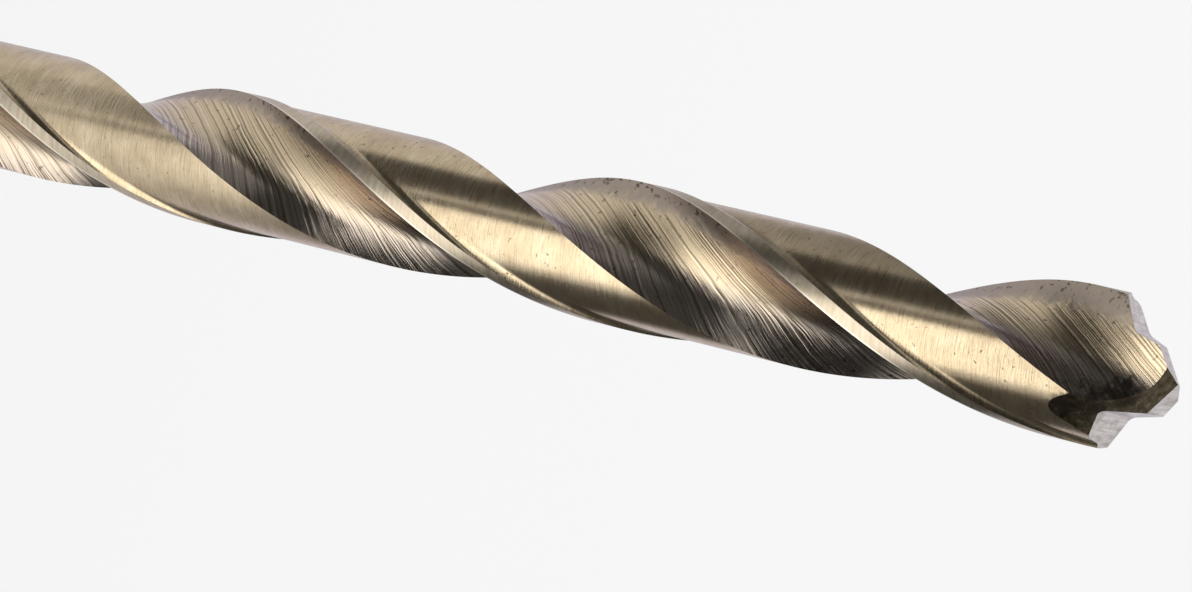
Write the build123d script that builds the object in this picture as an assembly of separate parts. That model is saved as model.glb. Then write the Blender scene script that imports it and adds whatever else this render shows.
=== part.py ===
from build123d import *
import math
import os

# Straight-shank twist drill bit, ground from one bar of high-speed steel.
#
# It is one piece. A round blank is ground in the order of the real process: the lands are relieved behind
# their margins, two helical flutes are ground along a tapering web and run out towards the shank, the two
# flanks of a stepped pilot point are form-ground, and two gashes split the point.
#
# Millimetres. The drill stands on the end of its shank: the axis is +Z, the origin is the centre of the
# shank's end face, and the point is up. The two lips run along X, at the outer corners of the point. The
# drill turns counter-clockwise as its point is looked at, so its helix is right-handed.

# Overall sizes
DIAMETER = 5.0  # over the margins, at the outer corners of the point
SHANK_DIAMETER = 4.96  # the margins taper back to this, so that the drill does not bind in its hole
OVERALL_LENGTH = 86.0
FLUTE_LENGTH = 56.0  # from the apex to where the flutes have run out
RELIEF_LENGTH = 54.0  # from the apex to where the relief of the lands has run out
HELIX_LEAD = 34.1  # axial length of one full turn
SHANK_CHAMFER = 0.4

# Web and lands
WEB_THICKNESS = 1.3  # between the two lips, at the outer corners of the point
WEB_TAPER = 0.025  # growth of the web for each millimetre towards the shank
MARGIN_WIDTH = 0.5  # full-diameter strip behind each leading edge
LAND_RELIEF = 0.17  # how far the rest of the land lies below the margin
RELIEF_WALL_ANGLE = 36.0  # slope of the step behind the margin, from the relieved land
RELIEF_WHEEL_RADIUS = 60.0  # of the wheel that leaves the relief's run-out
RELIEF_SPAN = 98.0  # angle that the relieving wheel sweeps, past the heel into the flute

# Flute section, for the flute in front of the lip on the +X side
FACE_SAG = 0.11  # hollow of the rake face below a straight line
FACE_INNER_X = 0.25  # where the rake face meets the round bottom
BOTTOM_RADIUS = 1.2
HEEL_WALL_ANGLE = 130.0  # direction of the wall that climbs to the heel, from +X
FLUTE_WHEEL_RADIUS = 22.0  # of the wheel that leaves the flute's run-out

# Point
PILOT_HALF_WIDTH = 1.07
PILOT_ANGLE = 112.0  # included angle of the pilot's two lips
PILOT_SIDE_HEIGHT = 0.92  # axial, from the pilot's corner to the outer lip
PILOT_SIDE_TAPER = 15.2  # angle of that side from the axis
PILOT_ROOT_RADIUS = 0.35
OUTER_LIP_ANGLE = 128.0  # included angle of the two outer lips
FLANK_RELIEF_ANGLE = 8.0

# Gashes that split the point, one in front of each lip
GASH_DIRECTION = 131.0  # level direction that the floor faces, from the lip on the +X side
GASH_ANGLE = 46.0  # of the floor, from the axis
CHISEL_HALF_WIDTH = 0.06  # from the axis to the floor, at the height of the apex
GASH_REACH = 2.18  # from the axis to where the wheel turns up along the heel
HEEL_CLEARANCE_ANGLE = 6.5  # of that last stretch, from the axis
GASH_ROUND_RADIUS = 2.0  # where the two stretches meet

# Grinding tools
STATION_STEP = 2.5  # axial distance between the sections of a helical surface
OUTSIDE = 1.0  # how far a grinding tool reaches beyond the blank
FLANK_SWEEP = 12.0  # length of a form wheel's pass over a flank
STANDING = (Align.CENTER, Align.CENTER, Align.MIN)  # a bar that rises from its own lower end

RADIUS = DIAMETER / 2
SHANK_RADIUS = SHANK_DIAMETER / 2
REACH = RADIUS + OUTSIDE
LIP_OFFSET = WEB_THICKNESS / 2
FLANK_SLOPE = math.tan(math.radians(FLANK_RELIEF_ANGLE))
LIP_TOP = OVERALL_LENGTH + LIP_OFFSET * FLANK_SLOPE  # where the lips, carried on, reach x = 0
CORNER_X = math.sqrt(RADIUS**2 - LIP_OFFSET**2)
FLUTE_END_Z = OVERALL_LENGTH - FLUTE_LENGTH
TOOL_TOP_Z = OVERALL_LENGTH + OUTSIDE
RELIEF_END_Z = OVERALL_LENGTH - RELIEF_LENGTH


def axial_slope(included_angle):
    """Axial drop of a lip for each millimetre that it runs outwards."""
    return 1 / math.tan(math.radians(included_angle / 2))


PILOT_CORNER_Z = LIP_TOP - PILOT_HALF_WIDTH * axial_slope(PILOT_ANGLE)
PILOT_ROOT_Z = PILOT_CORNER_Z - PILOT_SIDE_HEIGHT
PILOT_ROOT_X = PILOT_HALF_WIDTH + PILOT_SIDE_HEIGHT * math.tan(math.radians(PILOT_SIDE_TAPER))
CORNER_Z = PILOT_ROOT_Z - (CORNER_X - PILOT_ROOT_X) * axial_slope(OUTER_LIP_ANGLE)


def polar(radius, degrees):
    angle = math.radians(degrees)
    return Vector(radius * math.cos(angle), radius * math.sin(angle))


def stations(low, high):
    """Evenly spaced heights from low to high, at most one step apart."""
    count = math.ceil((high - low) / STATION_STEP)
    return [low + (high - low) * i / count for i in range(count + 1)]


def web_growth(z):
    """How far half the web has grown at height z."""
    return max(0.0, CORNER_Z - z) * WEB_TAPER / 2


def corner_azimuth(z):
    """Direction of the leading edge on the +X land at height z, which is an exact helix."""
    return math.degrees(math.asin(LIP_OFFSET / RADIUS)) + 360 * (z - CORNER_Z) / HELIX_LEAD


def arc_about(centre, radius, first, last):
    """Arc about a centre, from one direction to another."""
    points = [centre + polar(radius, first + (last - first) * share) for share in (0, 0.5, 1)]
    return ThreePointArc(*points)


def run_out_length(wheel_radius, depth):
    """Axial length over which a wheel of that radius climbs out of a cut of that depth."""
    return math.sqrt(wheel_radius**2 - (wheel_radius - depth) ** 2)


# Each wheel leaves the blank at the end of its own cut, along the arc of its own radius.
FLUTE_DEPTH = RADIUS - LIP_OFFSET + FACE_SAG - web_growth(FLUTE_END_Z)
FLUTE_RUN_OUT_Z = FLUTE_END_Z + run_out_length(FLUTE_WHEEL_RADIUS, FLUTE_DEPTH)
RELIEF_RUN_OUT_Z = RELIEF_END_Z + run_out_length(RELIEF_WHEEL_RADIUS, LAND_RELIEF)


# The step behind the margin climbs from the relieved land to the full diameter.
RELIEF_RADIUS = RADIUS - LAND_RELIEF
WALL_RISE = math.sin(math.radians(RELIEF_WALL_ANGLE))
WALL_RUN = math.cos(math.radians(RELIEF_WALL_ANGLE))
STEP_HEIGHT_SQUARED = RADIUS**2 - RELIEF_RADIUS**2
STEP_LENGTH = math.sqrt((RELIEF_RADIUS * WALL_RISE) ** 2 + STEP_HEIGHT_SQUARED) - RELIEF_RADIUS * WALL_RISE
STEP_TURN = math.atan2(STEP_LENGTH * WALL_RUN, RELIEF_RADIUS + STEP_LENGTH * WALL_RISE)
MARGIN_TURN = math.degrees(MARGIN_WIDTH / RADIUS + STEP_TURN)  # from the leading edge to the foot of the step


def wheel_lift(wheel_radius, run_out_z, z):
    """How far a wheel that starts to climb at run_out_z has lifted at height z."""
    past = max(0.0, run_out_z - z)
    return wheel_radius - math.sqrt(wheel_radius**2 - past**2)


def flute_section(z):
    """Outline of the flute in front of the +X land: rake face, round bottom, heel wall, open outside."""
    half_web = LIP_OFFSET + web_growth(z)
    edge_x = math.sqrt(RADIUS**2 - half_web**2)
    half_chord = (edge_x - FACE_INNER_X) / 2
    face_radius = (half_chord**2 + FACE_SAG**2) / (2 * FACE_SAG)
    inner_slope = math.degrees(math.asin(half_chord / face_radius))
    face_centre = Vector((edge_x + FACE_INNER_X) / 2, half_web - FACE_SAG + face_radius)
    outer_slope = math.degrees(math.asin((REACH - face_centre.X) / face_radius))
    bottom_centre = Vector(FACE_INNER_X, half_web) + polar(BOTTOM_RADIUS, 90 - inner_slope)
    face = arc_about(face_centre, face_radius, outer_slope - 90, -inner_slope - 90)
    bottom = arc_about(bottom_centre, BOTTOM_RADIUS, -inner_slope - 90, HEEL_WALL_ANGLE - 270)
    top_y = max((face @ 0).Y, RADIUS) + OUTSIDE
    wall_length = (top_y - (bottom @ 1).Y) / math.sin(math.radians(HEEL_WALL_ANGLE))
    wall_end = (bottom @ 1) + polar(wall_length, HEEL_WALL_ANGLE)
    heel_wall = Line(bottom @ 1, wall_end)
    outside = Line(wall_end, (REACH, top_y))
    side = Line((REACH, top_y), face @ 0)
    outline = Wire([face, bottom, heel_wall, outside, side])
    lifted = Pos(0, wheel_lift(FLUTE_WHEEL_RADIUS, FLUTE_RUN_OUT_Z, z), 0) * outline
    turn = corner_azimuth(z) - math.degrees(math.asin(half_web / RADIUS))
    return Pos(0, 0, z) * Rot(0, 0, turn) * lifted


def relief_section(z):
    """Outline of the ring sector that relieves the +X land: its floor, and the slope behind the margin."""
    floor_radius = RELIEF_RADIUS + wheel_lift(RELIEF_WHEEL_RADIUS, RELIEF_RUN_OUT_Z, z)
    first = corner_azimuth(z) - MARGIN_TURN
    last = first - RELIEF_SPAN
    outward = polar(1, first)
    forward = polar(1, first + 90)
    foot = polar(floor_radius, first)
    wall_end = foot + (outward * WALL_RISE + forward * WALL_RUN) * OUTSIDE
    open_radius = wall_end.length
    open_turn = math.degrees(math.atan2(wall_end.dot(forward), wall_end.dot(outward)))
    edges = [
        Line(wall_end, foot),
        arc_about(Vector(0, 0), floor_radius, first, last),
        Line(polar(floor_radius, last), polar(open_radius, last)),
        arc_about(Vector(0, 0), open_radius, last, first + open_turn),
    ]
    return Pos(0, 0, z) * Wire(edges)


def helical_tool(section, end_z):
    """Solid that a wheel sweeps along the helix, from just outside the end of its cut to above the point."""
    return Solid.make_loft([section(z) for z in stations(end_z - OUTSIDE, TOOL_TOP_Z)])


def flank_tool():
    """Form wheel's sweep over the +X flank: the stepped lip profile, carried back at the relief angle."""
    high = LIP_TOP + REACH * axial_slope(PILOT_ANGLE)  # where the inner slope reaches x = -REACH
    lip_end_z = PILOT_ROOT_Z - (REACH - PILOT_ROOT_X) * axial_slope(OUTER_LIP_ANGLE)
    profile = Polyline(
        (-REACH, high),
        (PILOT_HALF_WIDTH, PILOT_CORNER_Z),
        (PILOT_ROOT_X, PILOT_ROOT_Z),
        (REACH, lip_end_z),
        (REACH, high),
        (-REACH, high),
    )
    sketch = make_face(profile)
    root = sketch.vertices().sort_by_distance((PILOT_ROOT_X, PILOT_ROOT_Z))[0]
    sketch = fillet(root, PILOT_ROOT_RADIUS)
    front = Plane(origin=(0, LIP_OFFSET + REACH, REACH * FLANK_SLOPE), x_dir=(1, 0, 0), z_dir=(0, -1, 0))
    back = Vector(0, -1, -FLANK_SLOPE)
    return extrude(front * sketch, amount=FLANK_SWEEP, dir=back)


def gash_tool():
    """Straight sweep in front of the +X lip: it thins the web to the chisel edge, then clears the far heel."""
    level = math.radians(GASH_DIRECTION)
    facing = Vector(math.cos(level), math.sin(level), 0)
    along = Vector(-math.sin(level), math.cos(level), 0)
    high = GASH_REACH / math.tan(math.radians(GASH_ANGLE))
    turn_z = (CHISEL_HALF_WIDTH - GASH_REACH) / math.tan(math.radians(GASH_ANGLE))
    low = turn_z - (REACH - GASH_REACH) / math.tan(math.radians(HEEL_CLEARANCE_ANGLE))
    profile = Polyline(
        (CHISEL_HALF_WIDTH - GASH_REACH, high),
        (GASH_REACH, turn_z),
        (REACH, low),
        (REACH, high),
        (CHISEL_HALF_WIDTH - GASH_REACH, high),
    )
    sketch = make_face(profile)
    turn = sketch.vertices().sort_by_distance((GASH_REACH, turn_z))[0]
    sketch = fillet(turn, GASH_ROUND_RADIUS)
    start = Plane(origin=Vector(0, 0, OVERALL_LENGTH) - along * REACH, x_dir=facing, z_dir=-along)
    return extrude(start * sketch, amount=-2 * REACH)


def both_sides(tool):
    """The tool and its copy half a turn on."""
    return [tool, Rot(0, 0, 180) * tool]


def round_blank():
    """The turned bar: a chamfered shank, then a body that widens a little towards the point."""
    taper = (RADIUS - SHANK_RADIUS) / (CORNER_Z - FLUTE_END_Z)
    top_radius = RADIUS + taper * (TOOL_TOP_Z - CORNER_Z)
    shank = Cylinder(SHANK_RADIUS, FLUTE_END_Z, align=STANDING)
    shank = chamfer(shank.edges().sort_by(Axis.Z)[0], SHANK_CHAMFER)
    body = Cone(SHANK_RADIUS, top_radius, TOOL_TOP_Z - FLUTE_END_Z, align=STANDING)
    return shank + Pos(0, 0, FLUTE_END_Z) * body


def twist_drill():
    drill = round_blank()
    tools = [
        helical_tool(relief_section, RELIEF_END_Z),
        helical_tool(flute_section, FLUTE_END_Z),
        flank_tool(),
        gash_tool(),
    ]
    for tool in tools:
        drill = drill.cut(*both_sides(tool))
    return drill


os.makedirs("parts", exist_ok=True)
drill = twist_drill()
export_step(drill, "parts/twist_drill.step")
print("twist_drill", drill.is_valid, round(drill.volume, 2), drill.bounding_box())
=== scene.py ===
# %% [markdown]
# # A twist drill bit
# A twist drill is one bar of high-speed steel. Wheels grind two helical flutes into it, ease the lands behind
# their narrow margins, and form the point. This lesson dresses a imported solid: it loads it, and then grinds
# a finer bar to the same form, so that the light runs cleanly along the twist.

# %% Load the frame
import math

import bmesh
import bpy
from mathutils import Matrix, Vector


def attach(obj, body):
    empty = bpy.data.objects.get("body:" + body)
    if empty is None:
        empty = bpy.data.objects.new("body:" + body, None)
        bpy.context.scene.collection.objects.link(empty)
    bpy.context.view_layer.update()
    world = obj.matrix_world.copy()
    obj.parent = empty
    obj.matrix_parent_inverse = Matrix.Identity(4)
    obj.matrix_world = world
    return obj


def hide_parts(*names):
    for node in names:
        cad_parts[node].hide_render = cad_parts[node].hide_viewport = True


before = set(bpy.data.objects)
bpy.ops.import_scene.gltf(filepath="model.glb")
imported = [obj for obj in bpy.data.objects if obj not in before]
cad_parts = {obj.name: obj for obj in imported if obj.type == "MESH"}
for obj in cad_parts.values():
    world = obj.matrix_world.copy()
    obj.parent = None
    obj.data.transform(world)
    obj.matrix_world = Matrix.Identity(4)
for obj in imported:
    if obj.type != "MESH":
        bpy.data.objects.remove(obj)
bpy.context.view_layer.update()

# %% [markdown]
# ## The camera
# A long lens close to the point: the drill runs away from the lens, so its shank end looks thinner. The
# camera is rolled on its side, which lays a drill that stands on its shank nearly level across the frame.
# Its place is given as a point, the direction that the lens looks in, and the direction that is up in the
# frame.

# %% Camera
camera_data = bpy.data.cameras.new("long_lens")
camera_data.sensor_width = 36
camera_data.lens = 110.0
camera_data.clip_start = 0.005
camera = bpy.data.objects.new("long_lens", camera_data)
look = Vector((-0.01678, -0.86586, -0.5)).normalized()
frame_up = Vector((0.97305, 0.10089, -0.20737))
frame_right = look.cross(frame_up).normalized()
frame_up = frame_right.cross(look)
turned = Matrix((frame_right, frame_up, -look)).transposed()
camera.matrix_world = Matrix.Translation((0.000449, 0.107003, 0.126719)) @ turned.to_4x4()
bpy.context.scene.collection.objects.link(camera)
bpy.context.scene.camera = camera
print("camera stands", round(camera.location.length * 1000), "mm from the shank's end")

# %% [markdown]
# ## The drill's sizes
# A maker's drawing gives a drill by a few numbers, in millimetres: its size over the margins, the lead of its
# helix, the thickness of the web between the flutes, and the angles of its point. The mesh is shaped at that
# size and brought to metres at the very end, because cutting one mesh from another is safest near size 1.

# %% Sizes in millimetres
RADIUS = 2.5  # over the margins, at the point
SHANK_RADIUS = 2.48
LENGTH = 86.0  # from the shank's end to the apex
FLUTE_END = 30.0  # height at which the flutes have run out
RELIEF_END = 32.0  # height at which the relief of the lands has run out
LEAD = 34.1  # height of one full turn of the helix
CHAMFER = 0.4
HALF_WEB = 0.65  # half the steel left between the flutes, at the point
WEB_TAPER = 0.025  # how much the web thickens for each mm towards the shank
MARGIN = 0.5  # width of the full-size strip behind each leading edge
RELIEF = 0.17  # how far the rest of the land lies below the margin
RELIEF_SPAN = 98.0  # degrees that the relieving wheel sweeps
RELIEF_CORNER = 0.45  # radius of the corner that it leaves beside the margin
RELIEF_WHEEL = 60.0  # radius of the relieving wheel, which shapes its run-out
FACE_SAG = 0.11  # hollow of the rake face
FACE_INNER = 0.25  # distance from the axis at which the rake face ends
BOTTOM = 1.2  # radius of the flute's round bottom
HEEL_WALL = 130.0  # direction of the heel's wall, in degrees
FLUTE_WHEEL = 22.0  # radius of the flute wheel, which shapes its run-out
print("the drill is", LENGTH, "mm long and", 2 * RADIUS, "mm over its margins")

# %% Sizes of the point
FLANK_FALL = 8.0  # degrees that a flank falls away behind its lip
PILOT_ANGLE = 56.0  # of the pilot's lip, from the axis
LIP_ANGLE = 64.0  # of the outer lip, from the axis
PILOT_WALL_ANGLE = 15.2  # of the pilot's side, from the axis
PILOT_RADIUS = 1.07
PILOT_HEIGHT = 0.92
ROOT_RADIUS = 0.35  # of the round between the pilot's side and the outer lip
BACK_SLOPE = math.tan(math.radians(FLANK_FALL))
LIP_TOP = LENGTH + HALF_WEB * BACK_SLOPE
PILOT_SLOPE = 1 / math.tan(math.radians(PILOT_ANGLE))
PILOT_CORNER = (PILOT_RADIUS, LIP_TOP - PILOT_RADIUS * PILOT_SLOPE)
PILOT_ROOT = (
    PILOT_RADIUS + PILOT_HEIGHT * math.tan(math.radians(PILOT_WALL_ANGLE)),
    PILOT_CORNER[1] - PILOT_HEIGHT,
)
LIP_END = math.sqrt(RADIUS**2 - HALF_WEB**2)
CORNER_Z = PILOT_ROOT[1] - (LIP_END - PILOT_ROOT[0]) / math.tan(math.radians(LIP_ANGLE))
print("outer corners of the point at", round(CORNER_Z, 3), "mm")

# %% [markdown]
# ## The ground section
# Across the axis, each half of a drill shows four faces: the hollow flute, the relieved land, the small round
# corner that the relieving wheel leaves, and the full-size margin that guides the drill in its hole. The web
# thickens towards the shank, and each wheel climbs out of its cut along the arc of its own radius.

# %% How the wheels lie at a height
def leading_turn(z):
    """Direction of the leading edge at height z, in degrees: an exact helix."""
    return math.degrees(math.asin(HALF_WEB / RADIUS)) + 360 * (z - CORNER_Z) / LEAD


def half_web_at(z):
    """Half the web, which thickens towards the shank."""
    return HALF_WEB + max(0.0, CORNER_Z - z) * WEB_TAPER / 2


def bar_radius(z):
    """Radius over the margins, which taper back towards the shank."""
    share = min(1.0, max(0.0, (z - FLUTE_END) / (CORNER_Z - FLUTE_END)))
    return SHANK_RADIUS + (RADIUS - SHANK_RADIUS) * share


def climb(wheel, start, z):
    """How far a wheel that begins to leave the bar at start has climbed at height z."""
    past = min(max(0.0, start - z), wheel)
    return wheel - math.sqrt(wheel**2 - past**2)


def run_out(wheel, depth):
    """Height over which a wheel climbs out of a cut of that depth."""
    return math.sqrt(wheel**2 - (wheel - depth) ** 2)


FLUTE_START = FLUTE_END + run_out(FLUTE_WHEEL, RADIUS - half_web_at(FLUTE_END) + FACE_SAG)
RELIEF_START = RELIEF_END + run_out(RELIEF_WHEEL, RELIEF)
CORNER_ARC = math.acos(1 - RELIEF / RELIEF_CORNER)
CORNER_TURN = math.degrees(RELIEF_CORNER * math.sin(CORNER_ARC) / RADIUS)
MARGIN_TURN = math.degrees(MARGIN / RADIUS)
print("flutes start to leave the bar at", round(FLUTE_START, 2), "mm")

# %% The unfluted section
def land_depth(z):
    """How far the land lies below the margin."""
    floor = RADIUS - RELIEF + climb(RELIEF_WHEEL, RELIEF_START, z)
    return max(0.0, bar_radius(z) - floor)


def rim(z, behind):
    """Radius of the bar at an angle behind the leading edge, before the flutes are cut."""
    depth = land_depth(z)
    if behind <= MARGIN_TURN or behind > MARGIN_TURN + CORNER_TURN + RELIEF_SPAN:
        return bar_radius(z)
    into = min(1.0, (behind - MARGIN_TURN) / CORNER_TURN)
    rise = 1 - math.sqrt(max(0.0, 1 - (math.sin(CORNER_ARC) * (1 - into)) ** 2))
    full = 1 - math.cos(CORNER_ARC)
    return bar_radius(z) - depth * (1 - rise / full)


print("the step behind the margin is", round(RADIUS * math.radians(CORNER_TURN), 2), "mm wide")

# %% The flute's outline
ARC_STEPS = 60
HEEL_STEPS = 90
HEEL_STEP = 0.05


def arc(centre, radius, first, last):
    """Points along an arc, from the first direction to the last, in degrees."""
    steps = [math.radians(first + (last - first) * i / ARC_STEPS) for i in range(ARC_STEPS + 1)]
    return [Vector((centre[0] + radius * math.cos(a), centre[1] + radius * math.sin(a))) for a in steps]


def flute_outline(z):
    """Points along the rake face, the round bottom and the heel wall, from outside the bar to outside it."""
    web = half_web_at(z)
    edge = math.sqrt(RADIUS**2 - web**2)
    half_chord = (edge - FACE_INNER) / 2
    face_radius = (half_chord**2 + FACE_SAG**2) / (2 * FACE_SAG)
    inner = math.degrees(math.asin(half_chord / face_radius))
    centre = ((edge + FACE_INNER) / 2, web - FACE_SAG + face_radius)
    outer = math.degrees(math.asin((RADIUS + 1 - centre[0]) / face_radius))
    face = arc(centre, face_radius, outer - 90, -inner - 90)
    lean = math.radians(90 - inner)
    round_centre = (FACE_INNER + BOTTOM * math.cos(lean), web + BOTTOM * math.sin(lean))
    bottom = arc(round_centre, BOTTOM, -inner - 90, HEEL_WALL - 270)
    wall = Vector((math.cos(math.radians(HEEL_WALL)), math.sin(math.radians(HEEL_WALL))))
    heel = [bottom[-1] + wall * HEEL_STEP * i for i in range(1, HEEL_STEPS)]
    lifted = Vector((0, climb(FLUTE_WHEEL, FLUTE_START, z)))
    return [point + lifted for point in face + bottom[1:] + heel]


print("the flute's outline has", len(flute_outline(LENGTH)), "points")

# %% [markdown]
# ## Where the flute meets the bar
# The flute's outline is followed from outside the bar, and the two places where it goes in and comes out are
# the leading edge and the heel. The same number of points is then spread between those edges at each height,
# so one row of the mesh stays on the leading edge, one on the heel and one on the back of the margin.

# %% One ring of the drill
FLUTE_POINTS = 66
LAND_POINTS = 30
CORNER_POINTS = 8
MARGIN_POINTS = 6
HALF_RING = FLUTE_POINTS + LAND_POINTS + CORNER_POINTS + MARGIN_POINTS
NARROWEST = 3.0  # degrees that the flute's points keep to, where there is no flute
HALVINGS = 24


def turned_by(point, degrees):
    """The point, turned about the axis."""
    angle = math.radians(degrees)
    c, s = math.cos(angle), math.sin(angle)
    return Vector((point.x * c - point.y * s, point.x * s + point.y * c))


def angle_of(point):
    """Direction of the point from the axis, in degrees."""
    return math.degrees(math.atan2(point.y, point.x))


def rim_ahead(z, local, leading):
    """Radius of the unfluted bar at a local angle between one land's leading edge and the next one's."""
    behind = (leading + 180) - local
    return rim(z, behind) if behind >= 0 else bar_radius(z)


def flute_points(z, leading):
    """The flute from edge to edge, as points spread evenly along it, in the section's own directions."""
    outline = flute_outline(z)
    inside = [p.length < rim_ahead(z, angle_of(p), leading) and p.y > 0 for p in outline]
    if sum(inside) < 3:
        middle = angle_of(min(outline, key=lambda p: p.length))
        spread = [middle + NARROWEST * (i / FLUTE_POINTS - 0.5) for i in range(FLUTE_POINTS + 1)]
        return [turned_by(Vector((rim_ahead(z, a, leading), 0)), a) for a in spread]
    first = inside.index(True)
    last = len(inside) - 1 - inside[::-1].index(True)
    start = crossing(z, outline[first - 1], outline[first], leading)
    end = crossing(z, outline[last + 1], outline[last], leading)
    return spread_evenly([start] + outline[first : last + 1] + [end], FLUTE_POINTS)


def crossing(z, outer, inner, leading):
    """The point between outer and inner that lies on the bar."""
    for _ in range(HALVINGS):
        middle = (outer + inner) / 2
        if middle.length < rim_ahead(z, angle_of(middle), leading):
            inner = middle
        else:
            outer = middle
    return (outer + inner) / 2


def spread_evenly(points, count):
    """The same line, as count steps of equal length."""
    lengths = [0.0]
    for a, b in zip(points, points[1:]):
        lengths.append(lengths[-1] + (b - a).length)
    placed, k = [], 0
    for i in range(count + 1):
        goal = lengths[-1] * i / count
        while k < len(points) - 2 and lengths[k + 1] < goal:
            k += 1
        span = lengths[k + 1] - lengths[k]
        placed.append(points[k].lerp(points[k + 1], (goal - lengths[k]) / span if span else 0))
    return placed


def half_ring(z):
    """Points of the flute, land, round corner and margin, from one leading edge to the next."""
    leading = math.degrees(math.asin(half_web_at(z) / RADIUS))
    flute = flute_points(z, leading)
    next_edge = leading + 180
    heel, foot = angle_of(flute[-1]), next_edge - MARGIN_TURN - CORNER_TURN
    edge = angle_of(flute[0]) + 180
    spans = [
        (heel, foot, LAND_POINTS),
        (foot, next_edge - MARGIN_TURN, CORNER_POINTS),
        (next_edge - MARGIN_TURN, edge, MARGIN_POINTS),
    ]
    points = flute[:-1]
    for a, b, count in spans:
        angles = [a + (b - a) * i / count for i in range(count)]
        points += [turned_by(Vector((rim_ahead(z, t, leading), 0)), t) for t in angles]
    return points


print("points in a ring", 2 * HALF_RING, "and in half a ring near the point", len(half_ring(80.0)))

# %% [markdown]
# ## Winding the bar
# A screw is a spin that lifts as it turns. A circle is spun about the axis with a small lift for each step,
# and each of its vertices remembers its number round the ring. Then the wheels' form is given to it ring by
# ring: every vertex is drawn in from the round bar to the flute, the land or the margin that it belongs to.

# %% Spin the bar along its helix
RING_STEP = 0.25
LOW, HIGH = 29.0, 87.0  # heights of the first and last ring, past both ends of the flutes
ring_count = round((HIGH - LOW) / RING_STEP)
bar = bmesh.new()
place = bar.verts.layers.int.new("place")
circle = bmesh.ops.create_circle(bar, segments=2 * HALF_RING, radius=RADIUS)
for number, vertex in enumerate(circle["verts"]):
    vertex[place] = number
bmesh.ops.translate(bar, verts=bar.verts[:], vec=(0, 0, LOW))
bmesh.ops.spin(
    bar,
    geom=bar.verts[:] + bar.edges[:],
    cent=(0, 0, 0),
    axis=(0, 0, 1),
    dvec=(0, 0, RING_STEP),
    angle=math.radians(360 * (HIGH - LOW) / LEAD),
    steps=ring_count,
    use_duplicate=False,
)
print("wound bar:", len(bar.verts), "vertices in", ring_count + 1, "rings")

# %% Grind the flutes, lands and margins
rings = {}
for vertex in bar.verts:
    rings.setdefault(round((vertex.co.z - LOW) / RING_STEP), []).append(vertex)
for number, ring in rings.items():
    z = LOW + number * RING_STEP
    turn = leading_turn(z) - math.degrees(math.asin(half_web_at(z) / RADIUS))
    half = half_ring(z)
    for vertex in ring:
        far, slot = divmod(vertex[place], HALF_RING)
        point = turned_by(half[slot], turn + 180 * far)
        vertex.co = (point.x, point.y, z)
print("rings ground:", len(rings))

# %% [markdown]
# ## Flute, land, margin
# Each face of the bar keeps the finish of the wheel that cut it, so the faces are told apart now, by their
# number round the ring, and each kind is given a material slot of its own.

# %% Name the ground faces
FINISHES = ["flute", "land", "margin", "shank", "flank", "gash"]
for face in bar.faces:
    numbers = sorted(v[place] for v in face.verts)
    low = numbers[0] if numbers[-1] - numbers[0] < HALF_RING else numbers[-1]
    slot = low % HALF_RING
    if slot < FLUTE_POINTS:
        face.material_index = 0
    elif slot < FLUTE_POINTS + LAND_POINTS + CORNER_POINTS:
        face.material_index = 1
    else:
        face.material_index = 2
    face.smooth = True
counts = [sum(f.material_index == i for f in bar.faces) for i in range(3)]
print("faces of flute, land and margin", counts)

# %% [markdown]
# ## The shank
# The shank is the part of the bar that no wheel has cut. The open lowest ring is extruded down and scaled,
# which gives the straight shank, its chamfer and the rings of its flat end, and a fill closes each end of
# the bar. It has to be closed here, because a Boolean can only cut a solid that has an inside.

# %% Close the top and add the shank
SHANK_DROPS = (9, 10, 10 - CHAMFER)  # the last one ends at the chamfer
END_RINGS = (0.8, 0.5, 0.2)  # each ring of the flat end, as a share of the one round it


def ring_edges(bm, height):
    """The open edges at that height."""
    return [e for e in bm.edges if e.is_boundary and all(abs(v.co.z - height) < 1e-4 for v in e.verts)]


def drop_ring(bm, edges, down, scale):
    """Extrudes an open ring downwards, scales it, and gives the new edges."""
    made = bmesh.ops.extrude_edge_only(bm, edges=edges)["geom"]
    verts = [g for g in made if isinstance(g, bmesh.types.BMVert)]
    bmesh.ops.translate(bm, verts=verts, vec=(0, 0, -down))
    bmesh.ops.scale(bm, verts=verts, vec=(scale, scale, 1))
    for g in made:
        if isinstance(g, bmesh.types.BMFace):
            g.material_index, g.smooth = 3, True
    return [g for g in made if isinstance(g, bmesh.types.BMEdge)]


bmesh.ops.edgeloop_fill(bar, edges=ring_edges(bar, HIGH))
low_edges = ring_edges(bar, LOW)
for down in SHANK_DROPS:
    low_edges = drop_ring(bar, low_edges, down, 1)
low_edges = drop_ring(bar, low_edges, CHAMFER, (SHANK_RADIUS - CHAMFER) / SHANK_RADIUS)
for share in END_RINGS:
    low_edges = drop_ring(bar, low_edges, 0, share)
foot = bmesh.ops.edgeloop_fill(bar, edges=low_edges)
for face in foot["faces"]:
    face.material_index = 3
bmesh.ops.recalc_face_normals(bar, faces=bar.faces[:])
print("bar closed:", not any(e.is_boundary for e in bar.edges))

# %% [markdown]
# ## The point
# The point is ground by formed wheels. Each flank follows the lip's stepped outline, a narrow pilot and
# then the outer lips, and falls away behind it by eight degrees. A gash on each side then thins the web, so
# that the lips reach in to a short chisel edge. Both are made here as wheels' sweeps and taken away from
# the bar.

# %% A flank wheel
WIDE = RADIUS + 1.0  # how far each sweep reaches from the axis, to pass the bar's side
ROOT_TURN = LIP_ANGLE - PILOT_WALL_ANGLE
ROOT_OFFSET = ROOT_RADIUS * math.tan(math.radians(ROOT_TURN / 2))


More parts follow.
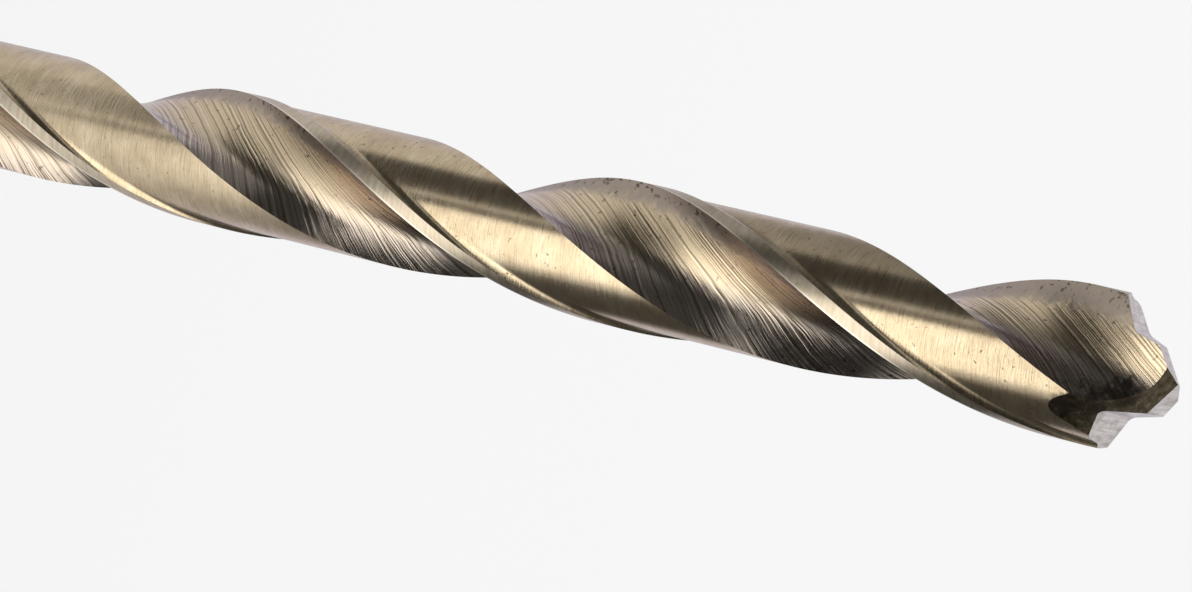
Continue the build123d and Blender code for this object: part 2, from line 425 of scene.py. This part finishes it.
def flank_wheel(bm):
    """Sweep of the form wheel over the flank behind the +X lip."""
    high = LIP_TOP + WIDE * PILOT_SLOPE
    low = PILOT_ROOT[1] - (WIDE - PILOT_ROOT[0]) / math.tan(math.radians(LIP_ANGLE))
    corners = [(-WIDE, high), PILOT_CORNER, PILOT_ROOT, (WIDE, low), (WIDE, high)]
    ahead = HALF_WEB + WIDE
    verts = [bm.verts.new((x, ahead, z + WIDE * BACK_SLOPE)) for x, z in corners]
    face = bm.faces.new(verts)
    bmesh.ops.bevel(
        bm, geom=[verts[2]], offset=ROOT_OFFSET, segments=8, profile=0.5, affect="VERTICES", material=-1
    )
    swept = bmesh.ops.extrude_face_region(bm, geom=bm.faces[:])["geom"]
    moved = [g for g in swept if isinstance(g, bmesh.types.BMVert)]
    bmesh.ops.translate(bm, verts=moved, vec=Vector((0, -1, -BACK_SLOPE)) * 3 * WIDE)


print("root of the pilot is rounded from", round(ROOT_OFFSET, 3), "mm before its corner")

# %% A gash wheel
GASH_LEVEL = 131.0  # direction of its profile's width, in degrees
GASH_CHISEL = 0.06  # distance past the axis at which its floor meets the apex's height
GASH_REACH = 2.18  # distance past the axis at which its floor turns down
GASH_ANGLE = 46.0  # of its floor, from the axis
GASH_END_ANGLE = 6.5  # of its end past the turn, from the axis
GASH_ROUND = 0.72  # how far from the turn its rounding starts


def gash_wheel(bm):
    """Straight pass in front of the +X lip: it thins the web to the chisel edge, then clears the far heel."""
    level = math.radians(GASH_LEVEL)
    facing = Vector((math.cos(level), math.sin(level), 0))
    along = Vector((-math.sin(level), math.cos(level), 0))
    steep = math.tan(math.radians(GASH_ANGLE))
    high, turn = GASH_REACH / steep, (GASH_CHISEL - GASH_REACH) / steep
    low = turn - (WIDE - GASH_REACH) / math.tan(math.radians(GASH_END_ANGLE))
    corners = [(GASH_CHISEL - GASH_REACH, high), (GASH_REACH, turn), (WIDE, low), (WIDE, high)]
    verts = [bm.verts.new(facing * u + Vector((0, 0, LENGTH + z)) - along * WIDE) for u, z in corners]
    bm.faces.new(verts)
    bmesh.ops.bevel(
        bm, geom=[verts[1]], offset=GASH_ROUND, segments=12, profile=0.5, affect="VERTICES", material=-1
    )
    swept = bmesh.ops.extrude_face_region(bm, geom=bm.faces[:])["geom"]
    moved = [g for g in swept if isinstance(g, bmesh.types.BMVert)]
    bmesh.ops.translate(bm, verts=moved, vec=along * 2 * WIDE)


print("each gash is", 2 * WIDE, "mm long, which passes right through the bar")

# %% Cut with both wheels, on both sides
materials = {name: bpy.data.materials.new(f"{name}_steel") for name in FINISHES}


def as_object(bm, name, finishes):
    """Puts the mesh into the scene, with a slot for each finish."""
    mesh = bpy.data.meshes.new(name)
    bm.to_mesh(mesh)
    bm.free()
    for finish in finishes:
        mesh.materials.append(materials[finish])
    made = bpy.data.objects.new(name, mesh)
    bpy.context.scene.collection.objects.link(made)
    return made


drill = as_object(bar, "ground_drill", FINISHES)
wheels = []
for name, shape in (("flank", flank_wheel), ("gash", gash_wheel)):
    for side in (0, 180):
        bm = bmesh.new()
        shape(bm)
        bmesh.ops.recalc_face_normals(bm, faces=bm.faces[:])
        bmesh.ops.rotate(bm, verts=bm.verts[:], matrix=Matrix.Rotation(math.radians(side), 3, "Z"))
        wheel = as_object(bm, f"{name}_wheel_{side}", [name])
        cut = drill.modifiers.new(f"{name}_{side}", "BOOLEAN")
        cut.operation, cut.solver, cut.object = "DIFFERENCE", "EXACT", wheel
        cut.material_mode = "TRANSFER"
        wheels.append(wheel)
bpy.context.view_layer.update()
ready = drill.evaluated_get(bpy.context.evaluated_depsgraph_get())
ground = bpy.data.meshes.new_from_object(ready)
drill.modifiers.clear()
drill.data = ground
for wheel in wheels:
    bpy.data.objects.remove(wheel)
print("ground drill:", len(ground.vertices), "vertices,", len(ground.materials), "finishes")

# %% [markdown]
# ## Cleaning the cut bar
# A Boolean leaves doubled points, slivers, and points with only two edges that lie almost on a straight
# line. The last kind is easy to miss. When the faces on both sides are split into triangles past such a
# point, they fold into a hair-thin fin. All three are cleared here. Then the bar is brought to metres, and
# the edges that bend sharply are marked, so that the rest is shaded as smooth.

# %% Clean it, bring it to metres and mark its sharp edges
SAME_PLACE = 1e-4
STRAIGHT = math.radians(5)
SHARP = math.radians(24)
TO_METRES = 0.001
tidy = bmesh.new()
tidy.from_mesh(ground)
bmesh.ops.remove_doubles(tidy, verts=tidy.verts[:], dist=SAME_PLACE)
bmesh.ops.dissolve_degenerate(tidy, edges=tidy.edges[:], dist=SAME_PLACE)
straight = [v for v in tidy.verts if len(v.link_edges) == 2 and v.calc_edge_angle() < STRAIGHT]
bmesh.ops.dissolve_verts(tidy, verts=straight)
bmesh.ops.scale(tidy, verts=tidy.verts[:], vec=(TO_METRES, TO_METRES, TO_METRES))
bmesh.ops.recalc_face_normals(tidy, faces=tidy.faces[:])
for face in tidy.faces:
    face.smooth = True
open_edges = sum(not e.is_manifold for e in tidy.edges)
tidy.to_mesh(ground)
tidy.free()
ground.set_sharp_from_angle(angle=SHARP)
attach(drill, "root")
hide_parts("twist_drill")
ground.calc_loop_triangles()
print("open edges", open_edges, "and triangles", len(ground.loop_triangles))
print("slots", [material.name for material in ground.materials])

# %% [markdown]
# ## Where a place lies on the drill
# Every finish on a drill follows its twist, so the materials need to know where a place lies on the helix.
# Two numbers do it: the height along the axis, and the angle that is left when the twist up to that height
# is taken away. The angle starts at 0 on a leading edge and crosses the flute and then the land behind the
# next edge.

# %% Helpers for the node trees
def add(tree, kind, sockets=None, **settings):
    """A new node, with its settings, and with a value or a link for each socket named."""
    made = tree.nodes.new(kind)
    for name, value in settings.items():
        setattr(made, name, value)
    for key, value in (sockets or {}).items():
        if isinstance(value, bpy.types.NodeSocket):
            tree.links.new(value, made.inputs[key])
        else:
            made.inputs[key].default_value = value
    return made


def calc(tree, operation, a, b=0.0):
    """The result of a sum on one or two values."""
    return add(tree, "ShaderNodeMath", {0: a, 1: b}, operation=operation).outputs[0]


def fade(tree, value, low, high):
    """0 below low, 1 above high, and smooth between."""
    return add(
        tree, "ShaderNodeMapRange", {"Value": value, "From Min": low, "From Max": high},
        interpolation_type="SMOOTHSTEP",
    ).outputs["Result"]


def ramp(tree, value, stops):
    """A colour for each value, from (value, colour) stops."""
    made = add(tree, "ShaderNodeValToRGB", {"Fac": value})
    points = made.color_ramp.elements
    points.remove(points[1])
    for k, (place, colour) in enumerate(stops):
        point = points[0] if k == 0 else points.new(place)
        point.position, point.color = place, (*colour, 1)
    return made.outputs["Color"]


def tint(tree, share, under, over, blend="MIX"):
    """Lays the colour over on the colour under, by share."""
    made = add(tree, "ShaderNodeMix", data_type="RGBA", blend_type=blend)
    for socket, value in ((made.inputs[0], share), (made.inputs[6], under), (made.inputs[7], over)):
        if isinstance(value, bpy.types.NodeSocket):
            tree.links.new(value, socket)
        else:
            socket.default_value = value if isinstance(value, float) else (*value, 1)
    return made.outputs[2]


def grain(tree, vector, scale, detail=3.0, roughness=0.6):
    """Noise from 0 to 1."""
    sockets = {"Vector": vector, "Scale": scale, "Detail": detail, "Roughness": roughness}
    return add(tree, "ShaderNodeTexNoise", sockets).outputs["Fac"]


# %% Place on the helix
LAG = math.asin(HALF_WEB / RADIUS) / math.tau  # turns from the section's own direction to its leading edge
EDGE_ANGLE = math.degrees(LAG * math.tau)
FLUTE_TURN = angle_of(flute_points(CORNER_Z, EDGE_ANGLE)[-1]) - EDGE_ANGLE


def spot_on(tree):
    """Socket: the spot in mm."""
    coordinates = add(tree, "ShaderNodeTexCoord").outputs["Object"]
    return add(tree, "ShaderNodeVectorMath", {0: coordinates, "Scale": 1000.0}, operation="SCALE").outputs[0]


def place_on(tree):
    """Sockets: the spot in mm, the height in mm, and the degrees after the leading edge, 0 to 180."""
    spot = spot_on(tree)
    part = add(tree, "ShaderNodeSeparateXYZ", {0: spot}).outputs
    turns = calc(tree, "DIVIDE", calc(tree, "ARCTAN2", part["Y"], part["X"]), math.tau)
    wound = calc(tree, "DIVIDE", calc(tree, "SUBTRACT", part["Z"], CORNER_Z), LEAD)
    left = calc(tree, "SUBTRACT", calc(tree, "SUBTRACT", turns, wound), LAG)
    after = calc(tree, "MULTIPLY", calc(tree, "FRACT", calc(tree, "MULTIPLY", left, 2.0)), 180.0)
    return spot, part["Z"], after


def across(tree, height, after, per_mm, per_degree):
    """A vector for marks that are stretched along one way and close across the other."""
    return add(
        tree, "ShaderNodeCombineXYZ",
        {0: calc(tree, "MULTIPLY", height, per_mm), 1: calc(tree, "MULTIPLY", after, per_degree)},
    ).outputs[0]


RIM_TINT = (0.80, 0.77, 0.86)  # a thin oxide looks a little violet where it is seen along the surface


def dress(tree, colour, rough, marks, depth):
    """Sets the steel's shader: colour, roughness and the height of its marks, in mm."""
    shader = tree.nodes["Principled BSDF"]
    shader.inputs["Metallic"].default_value = 1.0
    shader.inputs["Specular Tint"].default_value = (*RIM_TINT, 1)
    bump = add(tree, "ShaderNodeBump", {"Height": marks, "Distance": depth / 1000, "Strength": 1.0})
    tree.links.new(colour, shader.inputs["Base Color"])
    tree.links.new(rough, shader.inputs["Roughness"])
    tree.links.new(bump.outputs[0], shader.inputs["Normal"])
    return shader


def tree_of(finish):
    """The node tree of the finish's material."""
    materials[finish].use_nodes = True
    return materials[finish].node_tree


print("the flute takes", round(FLUTE_TURN, 1), "of each 180 degrees")

# %% [markdown]
# ## The flute's steel
# The flute wheel leaves fine lines that run a little steeper than the helix. In a section that turns with
# the helix, such a line moves along the rake face as it climbs. Here it moves by the same amount
# everywhere, which is simpler than a real wheel's track, so one number tells which line a place is on.
# Noise along that number gives lines that vary but stay straight. The oxide's tone is gold by the edge and greyer
# up the heel's wall, and that change across the flute is partly a painted reflection of the bright and pale
# bands.

# %% Flute
LINE_CLIMB = 0.57  # mm along the rake face for each mm of height
LINE_STEP = 0.13  # mm along the rake face for each step of the lines' noise
EDGE_STRIP = 4.5  # width of the dull strip behind the leading edge, in degrees
STRIP_BLUR = 3.0  # how far its border fades to each side
# centres of a dark patch near the point, where each gash meets its heel
DARK_PATCH_CENTRES = [(-1.3, 1.75, 83.0), (-1.15, 1.4, 83.9), (-0.75, 1.05, 84.6)]
# dark colour laid over the flute for stains, nicks and the dark patch
STAIN_AND_PATCH_COLOUR = (0.05, 0.037, 0.024)
# oxide tones across the flute, from edge to heel: the change from gold to grey is partly a painted reflection
FLUTE_OXIDE_AND_PAINTED_REFLECTION = [
    (0.0, (0.60, 0.485, 0.33)),
    (0.35, (0.58, 0.47, 0.325)),
    (0.60, (0.48, 0.40, 0.30)),
    (0.80, (0.44, 0.38, 0.325)),
    (1.0, (0.46, 0.40, 0.345)),
]


def dark_patch(tree, spot):
    """How dark the patch on the steel is: darkest where each gash meets its heel."""
    ragged = calc(tree, "MULTIPLY", calc(tree, "SUBTRACT", grain(tree, spot, 3.0, 5.0, 0.7), 0.5), 2.2)
    nearest = 9.0
    for side in (1, -1):
        for x, y, z in DARK_PATCH_CENTRES:
            ends = {0: spot, 1: (x * side, y * side, z)}
            far = add(tree, "ShaderNodeVectorMath", ends, operation="DISTANCE").outputs["Value"]
            nearest = calc(tree, "MINIMUM", nearest, far)
    patch_strength = fade(tree, calc(tree, "ADD", nearest, ragged), 0.85, 0.25)
    return calc(tree, "MULTIPLY", patch_strength, 0.82)


def wheel_number(tree, spot, height, after):
    """Which of the flute wheel's lines a place lies on."""
    flat = add(tree, "ShaderNodeVectorMath", {0: spot, 1: (1, 1, 0)}, operation="MULTIPLY").outputs[0]
    radius = add(tree, "ShaderNodeVectorMath", {0: flat}, operation="LENGTH").outputs["Value"]
    angle = calc(tree, "ADD", calc(tree, "MULTIPLY", after, math.radians(1)), LAG * math.tau)
    along_face = calc(tree, "MULTIPLY", radius, calc(tree, "COSINE", angle))
    moved = calc(tree, "ADD", along_face, calc(tree, "MULTIPLY", height, LINE_CLIMB))
    return calc(tree, "DIVIDE", moved, LINE_STEP)


def flute_steel(tree):
    """Wheel lines over an oxide tone that is partly a painted reflection, a dull strip by the edge, then stains,
    nicks and a dark patch.
    """
    spot, height, after = place_on(tree)
    fine = grain(tree, spot, 2.6)
    number = wheel_number(tree, spot, height, after)
    number = calc(tree, "ADD", number, calc(tree, "MULTIPLY", grain(tree, spot, 0.8, 2.0), 0.9))
    wheel = add(
        tree, "ShaderNodeTexNoise", {"W": number, "Scale": 1.25, "Detail": 2.0, "Roughness": 0.6},
        noise_dimensions="1D",
    ).outputs["Fac"]
    share = calc(tree, "DIVIDE", after, FLUTE_TURN)
    share = calc(tree, "ADD", share, calc(tree, "MULTIPLY", calc(tree, "SUBTRACT", fine, 0.5), 0.16))
    colour = ramp(tree, share, FLUTE_OXIDE_AND_PAINTED_REFLECTION)
    uneven = calc(tree, "ADD", after, calc(tree, "MULTIPLY", calc(tree, "SUBTRACT", fine, 0.5), 9.0))
    lined = fade(tree, uneven, EDGE_STRIP - STRIP_BLUR, EDGE_STRIP + STRIP_BLUR)
    grooves = calc(tree, "MULTIPLY", fade(tree, wheel, 0.50, 0.34), lined)
    colour = tint(tree, calc(tree, "MULTIPLY", grooves, 0.62), colour, (0.15, 0.11, 0.07))
    ridges = calc(tree, "MULTIPLY", fade(tree, wheel, 0.58, 0.74), lined)
    colour = tint(tree, calc(tree, "MULTIPLY", ridges, 0.35), colour, (0.86, 0.76, 0.58))
    colour = tint(tree, calc(tree, "SUBTRACT", 1.0, lined), colour, (0.36, 0.30, 0.25))
    stains = fade(tree, grain(tree, spot, 3.5, 4.0), 0.62, 0.72)
    nicks = fade(tree, grain(tree, spot, 4.0, 2.0), 0.58, 0.66)
    nicks = calc(tree, "MULTIPLY", nicks, fade(tree, after, 2.4, 0.8))
    dirt = calc(tree, "MULTIPLY", calc(tree, "MAXIMUM", stains, nicks), 0.75)
    colour = tint(tree, calc(tree, "MAXIMUM", dirt, dark_patch(tree, spot)), colour, STAIN_AND_PATCH_COLOUR)
    rough = calc(tree, "ADD", calc(tree, "MULTIPLY", fine, 0.16), calc(tree, "MULTIPLY", lined, -0.14))
    rough = calc(tree, "ADD", rough, 0.28)
    marks = calc(tree, "MULTIPLY", wheel, lined)
    marks = calc(tree, "ADD", marks, calc(tree, "MULTIPLY", grain(tree, spot, 14.0), 0.04))
    dress(tree, colour, rough, marks, 0.018)


flute_steel(tree_of("flute"))
print("flute: its lines move", LINE_CLIMB, "mm along the rake face for each mm of height")

# %% [markdown]
# ## The land's steel
# The land is relieved by a wheel that runs round the bar, so its lines go round. They are fine and close, and
# pits and darker blotches of oxide lie over them.

# %% Land
LAND_COLOURS = [(0.3, (0.47, 0.375, 0.25)), (0.5, (0.55, 0.445, 0.30)), (0.7, (0.62, 0.515, 0.36))]


def land_steel(tree):
    """Fine rings, wide paler bands, and pits."""
    spot, height, after = place_on(tree)
    rings = grain(tree, across(tree, height, after, 15.0, 0.045), 1.0, 4.0, 0.7)
    wide = grain(tree, across(tree, height, after, 2.2, 0.02), 1.0, 2.0)
    blotch = grain(tree, spot, 0.9, 4.0)
    colour = ramp(tree, blotch, LAND_COLOURS)
    colour = tint(tree, calc(tree, "MULTIPLY", fade(tree, rings, 0.52, 0.3), 0.5), colour, (0.25, 0.19, 0.12))
    colour = tint(tree, calc(tree, "MULTIPLY", fade(tree, wide, 0.5, 0.7), 0.25), colour, (0.75, 0.66, 0.50))
    pits = fade(tree, grain(tree, spot, 6.0, 3.0), 0.65, 0.73)
    colour = tint(tree, calc(tree, "MULTIPLY", pits, 0.7), colour, (0.10, 0.07, 0.045))
    rough = calc(tree, "ADD", calc(tree, "MULTIPLY", rings, 0.2), 0.13)
    dress(tree, colour, rough, calc(tree, "SUBTRACT", rings, calc(tree, "MULTIPLY", pits, 0.4)), 0.006)


land_steel(tree_of("land"))
print("land: rings over", len(LAND_COLOURS), "tones of oxide")

# %% [markdown]
# ## The margin's steel
# The margin rubs on the wall of the hole, so its lines are the shallowest of all. Its leading edge gets a thin
# bright line, a painted highlight. That line follows the helix, so it is drawn by the angle after the leading
# edge.

# %% Margin
EDGE_HIGHLIGHT_BAND = (178.08, 179.28)  # degrees between which the painted highlight comes up, just before the next edge at 180


def margin_steel(tree):
    """Faint rings, a painted highlight as a thin bright line at the edge, and a few nicks."""
    spot, height, after = place_on(tree)
    rings = grain(tree, across(tree, height, after, 7.0, 0.05), 1.0, 3.0)
    colour = ramp(tree, rings, [(0.3, (0.46, 0.39, 0.29)), (0.7, (0.64, 0.56, 0.44))])
    # painted highlight: a thin bright line along the edge
    painted_highlight = fade(tree, after, *EDGE_HIGHLIGHT_BAND)
    colour = tint(tree, calc(tree, "MULTIPLY", painted_highlight, 0.8), colour, (0.86, 0.80, 0.68))
    nicks = fade(tree, grain(tree, spot, 3.0, 4.0), 0.64, 0.72)
    colour = tint(tree, calc(tree, "MULTIPLY", nicks, 0.3), colour, (0.10, 0.08, 0.055))
    rough = calc(tree, "ADD", calc(tree, "MULTIPLY", rings, 0.14), 0.27)
    dress(tree, colour, rough, rings, 0.0015)


margin_steel(tree_of("margin"))
print("margin: worn over its last", round(180 - EDGE_HIGHLIGHT_BAND[0], 2), "degrees")

# %% [markdown]
# ## The shank's steel
# The shank is plain and round, so its marks are rings. It is gripped in a chuck and not washed by chips, so it
# shows handling marks, over an oxide that is greyer than the flutes'.

# %% Shank
def shank_steel(tree):
    """Fine rings over blotches of grey oxide."""
    spot, height, after = place_on(tree)
    rings = grain(tree, across(tree, height, after, 11.0, 0.01), 1.0, 4.0, 0.7)
    blotch = grain(tree, spot, 0.5, 4.0)
    colour = ramp(tree, blotch, [(0.3, (0.36, 0.31, 0.25)), (0.7, (0.52, 0.47, 0.39))])
    colour = tint(tree, calc(tree, "MULTIPLY", fade(tree, rings, 0.5, 0.3), 0.4), colour, (0.22, 0.19, 0.15))
    rough = calc(tree, "ADD", calc(tree, "MULTIPLY", rings, 0.2), 0.24)
    dress(tree, colour, rough, rings, 0.004)


shank_steel(tree_of("shank"))
print("shank: dressed up to", LOW, "mm")

# %% [markdown]
# ## The ground point
# The point is ground after tempering, so its flanks are clean, pale steel with a faint pink. The wheel's
# lines lie side by side across a flank, so the noise is close along X and stretched along Y.

# %% Flanks of the point
FLANK_PASSES = (12.0, 0.8, 0.0)  # how close the noise lies along X, Y and Z


def flank_steel(tree):
    """Pale ground lines with smudges over them."""
    spot = spot_on(tree)
    passes = add(tree, "ShaderNodeVectorMath", {0: spot, 1: FLANK_PASSES}, operation="MULTIPLY").outputs[0]
    lines = grain(tree, passes, 1.0, 3.0)
    colour = ramp(tree, lines, [(0.3, (0.52, 0.475, 0.455)), (0.7, (0.82, 0.785, 0.76))])
    smudge = fade(tree, grain(tree, spot, 2.2, 5.0, 0.7), 0.46, 0.66)
    colour = tint(tree, calc(tree, "MULTIPLY", smudge, 0.6), colour, (0.36, 0.31, 0.27))
    rough = calc(tree, "ADD", calc(tree, "MULTIPLY", lines, 0.15), 0.25)
    dress(tree, colour, rough, lines, 0.004)


flank_steel(tree_of("flank"))
print("flank: lines", FLANK_PASSES[0] / FLANK_PASSES[1], "times as close across as along")

# %% [markdown]
# ## The gash's steel
# Chips press hardest in the gash. Its steel is painted nearly black, as painted shade for its deep hollow. A dark
# patch runs from it out into the flute, so both finishes ask one helper how dark it is.

# %% Gash
# near-black tones: painted shade of the gash's hollow
GASH_SHADE_COLOURS = [(0.3, (0.04, 0.032, 0.02)), (0.6, (0.12, 0.098, 0.062)), (0.8, (0.24, 0.20, 0.14))]


def gash_steel(tree):
    """Rough steel painted nearly black as painted shade, darker still under the dark patch."""
    spot = spot_on(tree)
    lines = grain(tree, spot, 5.0, 4.0)
    colour = ramp(tree, lines, GASH_SHADE_COLOURS)
    # darker still where the dark patch lies
    colour = tint(tree, dark_patch(tree, spot), colour, (0.02, 0.014, 0.01))
    rough = calc(tree, "ADD", calc(tree, "MULTIPLY", lines, 0.25), 0.34)
    dress(tree, colour, rough, lines, 0.02)


gash_steel(tree_of("gash"))
print("finishes:", ", ".join(FINISHES))

# %% [markdown]
# ## The floor
# The drill stands on pale paper, which also fills the background. Lens and metal see the paper mostly at an
# even white, by the kind of ray that meets it, so a white ground needs no more light on the drill. The rest
# of the paper's light is its real matt surface, which keeps the drill's soft shadow.

# %% Floor
PAPER = 0.93
EVEN_SHARE = 0.85  # how much of the paper is seen at the even white
FLOOR_SIZE = 4
floor_mesh = bmesh.new()
bmesh.ops.create_grid(floor_mesh, x_segments=1, y_segments=1, size=FLOOR_SIZE)
floor_data = bpy.data.meshes.new("floor")
floor_mesh.to_mesh(floor_data)
floor_mesh.free()
floor = bpy.data.objects.new("floor", floor_data)
bpy.context.scene.collection.objects.link(floor)
paper = bpy.data.materials.new("paper")
paper.use_nodes = True
floor_data.materials.append(paper)


def paper_white(tree):
    """Pale matt paper, which the lens and the metal see mostly at an even white."""
    matt = tree.nodes["Principled BSDF"]
    matt.inputs["Base Color"].default_value = (PAPER, PAPER, PAPER, 1)
    matt.inputs["Roughness"].default_value = 0.9
    even = add(tree, "ShaderNodeEmission", {"Color": (PAPER, PAPER, PAPER, 1), "Strength": 1.0})
    ray = add(tree, "ShaderNodeLightPath").outputs
    seen = calc(tree, "MAXIMUM", ray["Is Camera Ray"], ray["Is Glossy Ray"])
    seen = calc(tree, "MAXIMUM", seen, ray["Is Transmission Ray"])
    share = calc(tree, "MULTIPLY", seen, EVEN_SHARE)
    mixed = add(tree, "ShaderNodeMixShader", {0: share, 1: matt.outputs[0], 2: even.outputs[0]})
    tree.links.new(mixed.outputs[0], tree.nodes["Material Output"].inputs["Surface"])


paper_white(paper.node_tree)
print("floor: paper of", PAPER, "white")

# %% [markdown]
# ## Light and cards
# A drill is nearly a mirror, so what it shows is what stands round it. A pale world and a soft lamp above
# light it evenly. A low soft panel in front makes the bright band, and dark and grey cards stand round the
# drill for the darker bands beside it, as they would on a photographer's table. Lamps and cards are hidden
# from the camera's own rays, so nothing stands in the way when the drill is seen from another side.

# %% World
WORLD_GREY = 0.9
world = bpy.data.worlds.new("studio")
bpy.context.scene.world = world
world.use_nodes = True
world.node_tree.nodes["Background"].inputs["Color"].default_value = (WORLD_GREY, WORLD_GREY, WORLD_GREY, 1)
world.node_tree.nodes["Background"].inputs["Strength"].default_value = 0.9
print("world: an even grey of", WORLD_GREY)


# %% Lamps and cards
def aimed(thing, place, aim):
    """Stands a lamp or card at its place, facing its aim, and hides it from the camera's own rays."""
    thing.location = place
    thing.rotation_euler = (Vector(aim) - Vector(place)).to_track_quat("-Z", "Y").to_euler()
    thing.visible_camera = False
    bpy.context.scene.collection.objects.link(thing)


def soft_box(name, place, aim, size, watts, colour=(1, 1, 1)):
    """A lamp behind a soft rectangle, in metres."""
    data = bpy.data.lights.new(name, "AREA")
    data.color = colour
    data.shape, data.size, data.size_y, data.energy = "RECTANGLE", size[0], size[1], watts
    aimed(bpy.data.objects.new(name, data), place, aim)


def card(name, place, aim, size, grey):
    """A matt card of an even grey."""
    bm = bmesh.new()
    bmesh.ops.create_grid(bm, x_segments=1, y_segments=1, size=0.5)
    bmesh.ops.scale(bm, verts=bm.verts[:], vec=(size[0], size[1], 1))
    data = bpy.data.meshes.new(name)
    bm.to_mesh(data)
    bm.free()
    felt = bpy.data.materials.new(name)
    felt.use_nodes = True
    shader = felt.node_tree.nodes["Principled BSDF"]
    shader.inputs["Base Color"].default_value = (grey, grey, grey, 1)
    shader.inputs["Roughness"].default_value = 1.0
    shader.inputs["Specular IOR Level"].default_value = 0.0
    data.materials.append(felt)
    made = bpy.data.objects.new(name, data)
    aimed(made, place, aim)


def standing_card(name, azimuth, distance, width, low, high, grey):
    """A card that stands upright beside the drill, from low to high, and faces its axis."""
    turn = math.radians(azimuth)
    foot = Vector((math.cos(turn) * distance, math.sin(turn) * distance, (low + high) / 2))
    card(name, foot, (0, 0, foot.z), (width, high - low), grey)


# Each card: its name, its direction round the drill in degrees, then its distance, width, lowest and highest
# height in metres, and its grey.
CARDS = [
    ("dark_card", 42, 0.06, 0.053, 0.0, 0.11, 0.09),
    ("thin_card", 79, 0.06, 0.0125, 0.0, 0.085, 0.05),
    ("lens_card", 122, 0.10, 0.162, 0.055, 0.15, 0.03),
    ("grey_card", 191, 0.06, 0.075, 0.01, 0.09, 0.12),
    ("back_card", -14, 0.12, 0.18, 0.05, 0.13, 0.12),
    ("low_back_card", -14, 0.12, 0.18, 0.0, 0.05, 0.42),
]
soft_box("key", (0.08, -0.12, 0.40), (0, 0, 0.06), (0.2, 0.2), 0.45)
soft_box("front_panel", (-0.036, 0.077, 0.026), (0, 0, 0.026), (0.11, 0.05), 0.029, (1.0, 0.97, 0.90))
for row in CARDS:
    standing_card(*row)
print("lamps", len(bpy.data.lights), "and cards", len(CARDS))

# %% How colours are shown
bpy.context.scene.view_settings.view_transform = "Standard"
print("view transform:", bpy.context.scene.view_settings.view_transform)
